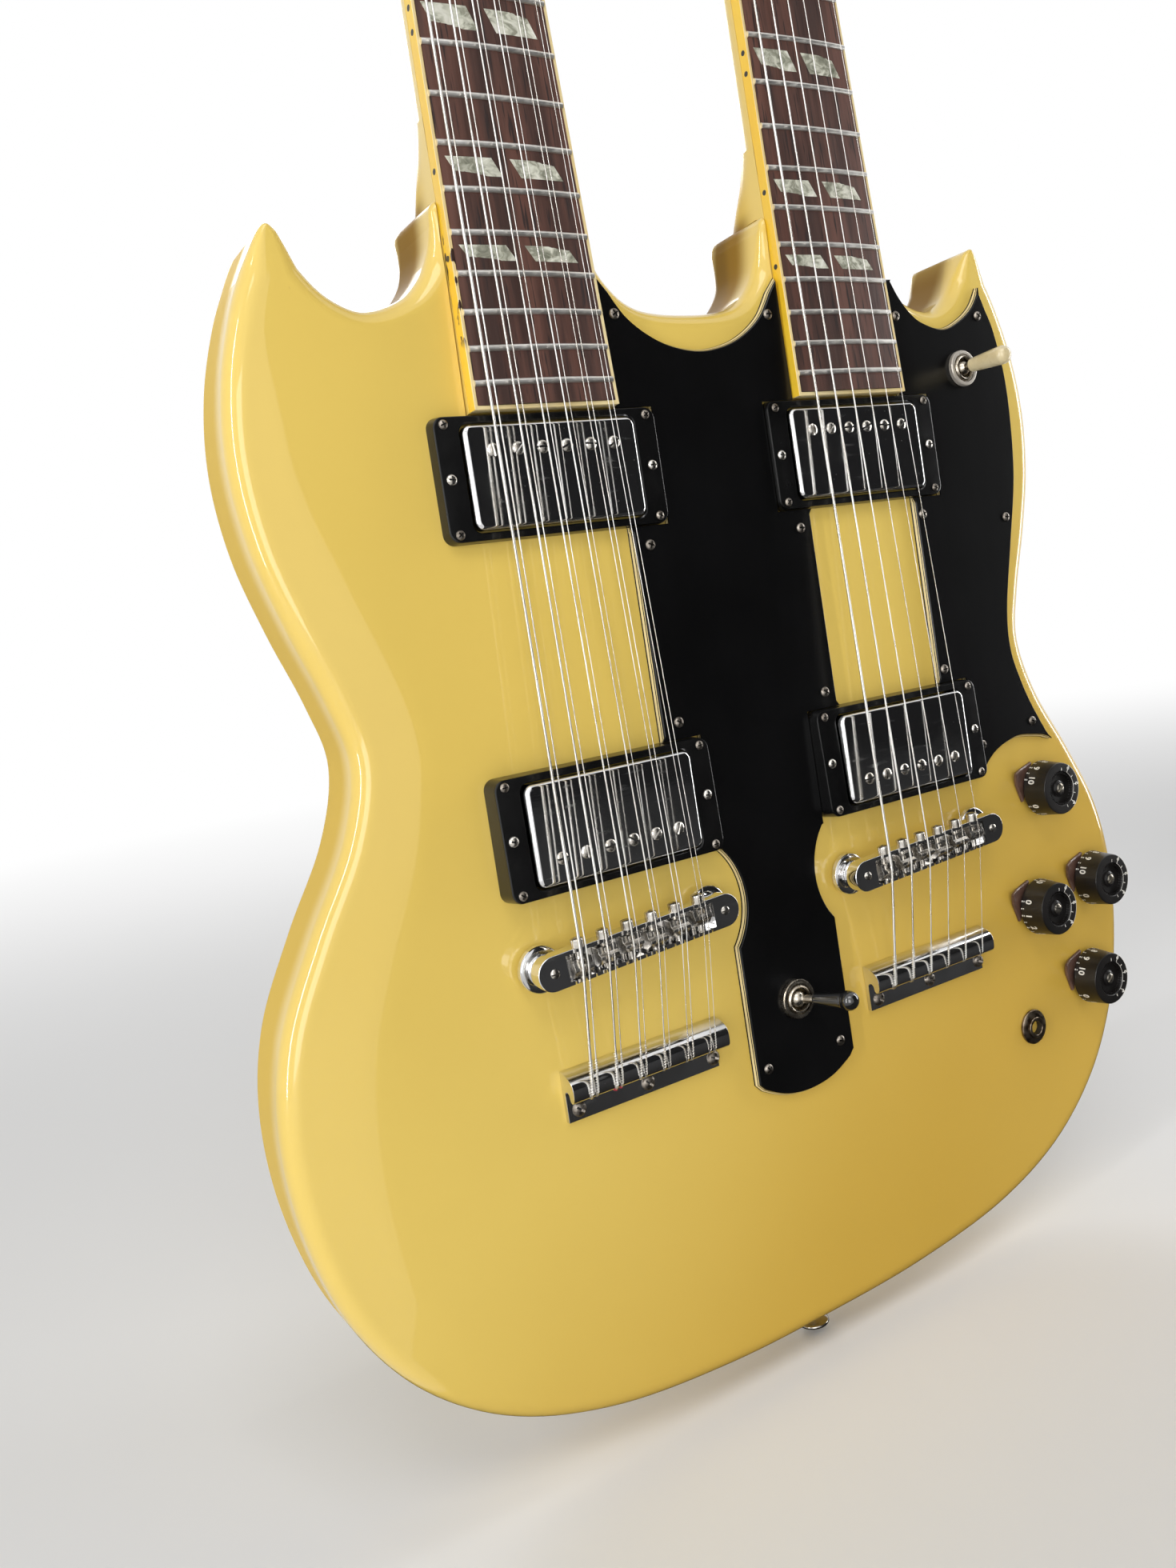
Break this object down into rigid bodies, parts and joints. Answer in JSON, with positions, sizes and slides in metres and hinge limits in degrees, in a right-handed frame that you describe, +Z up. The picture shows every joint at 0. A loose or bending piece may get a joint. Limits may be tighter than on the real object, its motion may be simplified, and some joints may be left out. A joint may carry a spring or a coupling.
{
  "type": "double-neck electric guitar",
  "caption": "Solid-body electric guitar with a twelve-string and a six-string neck side by side, horned body, metal-covered pickups, bar bridges and turned knobs.",
  "frame": {"origin": "on the flat back of the body, on the line midway between the necks, 160 mm below the last fret", "axes": "+Z up along the necks towards the headstocks, front faces -Y, twelve-string neck at -X"},
  "size_m": [0.406, 0.1251, 1.0511],
  "materials": {
    "body": "gloss lacquer",
    "pickguard_centre": "gloss",
    "pickguard_treble": "gloss",
    "control_cover": "satin",
    "control_pots": "plain steel",
    "output_jack": "worn nickel plate",
    "strap_button_tail": "worn nickel plate",
    "strap_button_back": "worn nickel plate",
    "toggle_switch_tail": "worn nickel plate",
    "toggle_switch_horn": "worn nickel plate",
    "neck_twelve": "gloss lacquer",
    "fretboard_twelve": "oiled",
    "binding_twelve": "satin",
    "nut_twelve": "satin",
    "strings_twelve": "plain steel",
    "bridge_twelve": "polished",
    "tailpiece_twelve": "polished",
    "pickup_ring_neck_twelve": "satin",
    "pickup_ring_bridge_twelve": "satin",
    "pickup_cover_neck_twelve": "polished",
    "pickup_cover_bridge_twelve": "polished",
    "tuner_plate_low_twelve": "worn nickel plate",
    "tuner_plate_high_twelve": "worn nickel plate",
    "neck_six": "gloss lacquer",
    "fretboard_six": "oiled",
    "binding_six": "satin",
    "nut_six": "satin",
    "strings_six": "plain steel",
    "bridge_six": "polished",
    "tailpiece_six": "polished",
    "pickup_ring_neck_six": "satin",
    "pickup_ring_bridge_six": "satin",
    "pickup_cover_neck_six": "polished",
    "pickup_cover_bridge_six": "polished",
    "tuner_plate_low_six": "worn nickel plate",
    "tuner_plate_high_six": "worn nickel plate",
    "tuner_button_high_six_1": "worn nickel plate",
    "tuner_button_high_six_2": "worn nickel plate",
    "tuner_button_high_six_3": "worn nickel plate",
    "tuner_button_high_twelve_1": "worn nickel plate",
    "tuner_button_high_twelve_2": "worn nickel plate",
    "tuner_button_high_twelve_3": "worn nickel plate",
    "tuner_button_high_twelve_4": "worn nickel plate",
    "tuner_button_high_twelve_5": "worn nickel plate",
    "tuner_button_high_twelve_6": "worn nickel plate",
    "tuner_button_low_six_1": "worn nickel plate",
    "tuner_button_low_six_2": "worn nickel plate",
    "tuner_button_low_six_3": "worn nickel plate",
    "tuner_button_low_twelve_1": "worn nickel plate",
    "tuner_button_low_twelve_2": "worn nickel plate",
    "tuner_button_low_twelve_3": "worn nickel plate",
    "tuner_button_low_twelve_4": "worn nickel plate",
    "tuner_button_low_twelve_5": "worn nickel plate",
    "tuner_button_low_twelve_6": "worn nickel plate",
    "knob_tone_six": "gloss",
    "knob_tone_twelve": "gloss",
    "knob_volume_six": "gloss",
    "knob_volume_twelve": "gloss",
    "toggle_lever_horn": "satin",
    "toggle_lever_tail": "satin"
  },
  "bodies": {
    "guitar": {"body": "body", "pickguard_centre": "pickguard_centre", "pickguard_treble": "pickguard_treble", "control_cover": "control_cover", "control_pots": "control_pots", "output_jack": "output_jack", "strap_button_tail": "strap_button_tail", "strap_button_back": "strap_button_back", "toggle_switch_tail": "toggle_switch_tail", "toggle_switch_horn": "toggle_switch_horn", "neck_twelve": "neck_twelve", "fretboard_twelve": "fretboard_twelve", "binding_twelve": "binding_twelve", "nut_twelve": "nut_twelve", "strings_twelve": "strings_twelve", "bridge_twelve": "bridge_twelve", "tailpiece_twelve": "tailpiece_twelve", "pickup_ring_neck_twelve": "pickup_ring_neck_twelve", "pickup_ring_bridge_twelve": "pickup_ring_bridge_twelve", "pickup_cover_neck_twelve": "pickup_cover_neck_twelve", "pickup_cover_bridge_twelve": "pickup_cover_bridge_twelve", "tuner_plate_low_twelve": "tuner_plate_low_twelve", "tuner_plate_high_twelve": "tuner_plate_high_twelve", "neck_six": "neck_six", "fretboard_six": "fretboard_six", "binding_six": "binding_six", "nut_six": "nut_six", "strings_six": "strings_six", "bridge_six": "bridge_six", "tailpiece_six": "tailpiece_six", "pickup_ring_neck_six": "pickup_ring_neck_six", "pickup_ring_bridge_six": "pickup_ring_bridge_six", "pickup_cover_neck_six": "pickup_cover_neck_six", "pickup_cover_bridge_six": "pickup_cover_bridge_six", "tuner_plate_low_six": "tuner_plate_low_six", "tuner_plate_high_six": "tuner_plate_high_six"},
    "tuner_button_high_six_1": {"tuner_button_high_six_1": "tuner_button_high_six_1"},
    "tuner_button_high_six_2": {"tuner_button_high_six_2": "tuner_button_high_six_2"},
    "tuner_button_high_six_3": {"tuner_button_high_six_3": "tuner_button_high_six_3"},
    "tuner_button_high_twelve_1": {"tuner_button_high_twelve_1": "tuner_button_high_twelve_1"},
    "tuner_button_high_twelve_2": {"tuner_button_high_twelve_2": "tuner_button_high_twelve_2"},
    "tuner_button_high_twelve_3": {"tuner_button_high_twelve_3": "tuner_button_high_twelve_3"},
    "tuner_button_high_twelve_4": {"tuner_button_high_twelve_4": "tuner_button_high_twelve_4"},
    "tuner_button_high_twelve_5": {"tuner_button_high_twelve_5": "tuner_button_high_twelve_5"},
    "tuner_button_high_twelve_6": {"tuner_button_high_twelve_6": "tuner_button_high_twelve_6"},
    "tuner_button_low_six_1": {"tuner_button_low_six_1": "tuner_button_low_six_1"},
    "tuner_button_low_six_2": {"tuner_button_low_six_2": "tuner_button_low_six_2"},
    "tuner_button_low_six_3": {"tuner_button_low_six_3": "tuner_button_low_six_3"},
    "tuner_button_low_twelve_1": {"tuner_button_low_twelve_1": "tuner_button_low_twelve_1"},
    "tuner_button_low_twelve_2": {"tuner_button_low_twelve_2": "tuner_button_low_twelve_2"},
    "tuner_button_low_twelve_3": {"tuner_button_low_twelve_3": "tuner_button_low_twelve_3"},
    "tuner_button_low_twelve_4": {"tuner_button_low_twelve_4": "tuner_button_low_twelve_4"},
    "tuner_button_low_twelve_5": {"tuner_button_low_twelve_5": "tuner_button_low_twelve_5"},
    "tuner_button_low_twelve_6": {"tuner_button_low_twelve_6": "tuner_button_low_twelve_6"},
    "knob_tone_six": {"knob_tone_six": "knob_tone_six"},
    "knob_tone_twelve": {"knob_tone_twelve": "knob_tone_twelve"},
    "knob_volume_six": {"knob_volume_six": "knob_volume_six"},
    "knob_volume_twelve": {"knob_volume_twelve": "knob_volume_twelve"},
    "toggle_lever_horn": {"toggle_lever_horn": "toggle_lever_horn"},
    "toggle_lever_tail": {"toggle_lever_tail": "toggle_lever_tail"}
  },
  "joints": [
    {"name": "tuner_high_six_1", "type": "hinge", "parent": "guitar", "child": "tuner_button_high_six_1", "pos_m": [0.11495, 0.01129, 0.63303], "axis": [1, 0, 0], "continuous": true},
    {"name": "tuner_high_six_2", "type": "hinge", "parent": "guitar", "child": "tuner_button_high_six_2", "pos_m": [0.11495, 0.02142, 0.66861], "axis": [1, 0, 0], "continuous": true},
    {"name": "tuner_high_six_3", "type": "hinge", "parent": "guitar", "child": "tuner_button_high_six_3", "pos_m": [0.11495, 0.03156, 0.7042], "axis": [1, 0, 0], "continuous": true},
    {"name": "tuner_high_twelve_1", "type": "hinge", "parent": "guitar", "child": "tuner_button_high_twelve_1", "pos_m": [-0.02895, 0.01129, 0.63303], "axis": [1, 0, 0], "continuous": true},
    {"name": "tuner_high_twelve_2", "type": "hinge", "parent": "guitar", "child": "tuner_button_high_twelve_2", "pos_m": [-0.02895, 0.02005, 0.6638], "axis": [1, 0, 0], "continuous": true},
    {"name": "tuner_high_twelve_3", "type": "hinge", "parent": "guitar", "child": "tuner_button_high_twelve_3", "pos_m": [-0.02895, 0.02882, 0.69458], "axis": [1, 0, 0], "continuous": true},
    {"name": "tuner_high_twelve_4", "type": "hinge", "parent": "guitar", "child": "tuner_button_high_twelve_4", "pos_m": [-0.02895, 0.03759, 0.72535], "axis": [1, 0, 0], "continuous": true},
    {"name": "tuner_high_twelve_5", "type": "hinge", "parent": "guitar", "child": "tuner_button_high_twelve_5", "pos_m": [-0.02895, 0.04635, 0.75613], "axis": [1, 0, 0], "continuous": true},
    {"name": "tuner_high_twelve_6", "type": "hinge", "parent": "guitar", "child": "tuner_button_high_twelve_6", "pos_m": [-0.02895, 0.05512, 0.78691], "axis": [1, 0, 0], "continuous": true},
    {"name": "tuner_low_six_1", "type": "hinge", "parent": "guitar", "child": "tuner_button_low_six_1", "pos_m": [0.02895, 0.01129, 0.63303], "axis": [-1, 0, 0], "continuous": true},
    {"name": "tuner_low_six_2", "type": "hinge", "parent": "guitar", "child": "tuner_button_low_six_2", "pos_m": [0.02895, 0.02142, 0.66861], "axis": [-1, 0, 0], "continuous": true},
    {"name": "tuner_low_six_3", "type": "hinge", "parent": "guitar", "child": "tuner_button_low_six_3", "pos_m": [0.02895, 0.03156, 0.7042], "axis": [-1, 0, 0], "continuous": true},
    {"name": "tuner_low_twelve_1", "type": "hinge", "parent": "guitar", "child": "tuner_button_low_twelve_1", "pos_m": [-0.11495, 0.01129, 0.63303], "axis": [-1, 0, 0], "continuous": true},
    {"name": "tuner_low_twelve_2", "type": "hinge", "parent": "guitar", "child": "tuner_button_low_twelve_2", "pos_m": [-0.11495, 0.02005, 0.6638], "axis": [-1, 0, 0], "continuous": true},
    {"name": "tuner_low_twelve_3", "type": "hinge", "parent": "guitar", "child": "tuner_button_low_twelve_3", "pos_m": [-0.11495, 0.02882, 0.69458], "axis": [-1, 0, 0], "continuous": true},
    {"name": "tuner_low_twelve_4", "type": "hinge", "parent": "guitar", "child": "tuner_button_low_twelve_4", "pos_m": [-0.11495, 0.03759, 0.72535], "axis": [-1, 0, 0], "continuous": true},
    {"name": "tuner_low_twelve_5", "type": "hinge", "parent": "guitar", "child": "tuner_button_low_twelve_5", "pos_m": [-0.11495, 0.04635, 0.75613], "axis": [-1, 0, 0], "continuous": true},
    {"name": "tuner_low_twelve_6", "type": "hinge", "parent": "guitar", "child": "tuner_button_low_twelve_6", "pos_m": [-0.11495, 0.05512, 0.78691], "axis": [-1, 0, 0], "continuous": true},
    {"name": "knob_tone_six_turn", "type": "hinge", "parent": "guitar", "child": "knob_tone_six", "pos_m": [0.1725, -0.0375, -0.1211], "axis": [0, -1, 0], "range_deg": [0, 300]},
    {"name": "knob_tone_twelve_turn", "type": "hinge", "parent": "guitar", "child": "knob_tone_twelve", "pos_m": [0.1442, -0.0375, -0.0815], "axis": [0, -1, 0], "range_deg": [0, 300]},
    {"name": "knob_volume_six_turn", "type": "hinge", "parent": "guitar", "child": "knob_volume_six", "pos_m": [0.182, -0.0375, -0.0771], "axis": [0, -1, 0], "range_deg": [0, 300]},
    {"name": "knob_volume_twelve_turn", "type": "hinge", "parent": "guitar", "child": "knob_volume_twelve", "pos_m": [0.1563, -0.0375, -0.0296], "axis": [0, -1, 0], "range_deg": [0, 300]},
    {"name": "toggle_lever_horn_tip", "type": "hinge", "parent": "guitar", "child": "toggle_lever_horn", "pos_m": [0.1406, -0.0377, 0.1605], "axis": [1, 0, 0], "range_deg": [-25, 25]},
    {"name": "toggle_lever_tail_tip", "type": "hinge", "parent": "guitar", "child": "toggle_lever_tail", "pos_m": [0, -0.0377, -0.0826], "axis": [0, 0, 1], "range_deg": [-50, 0]}
  ]
}
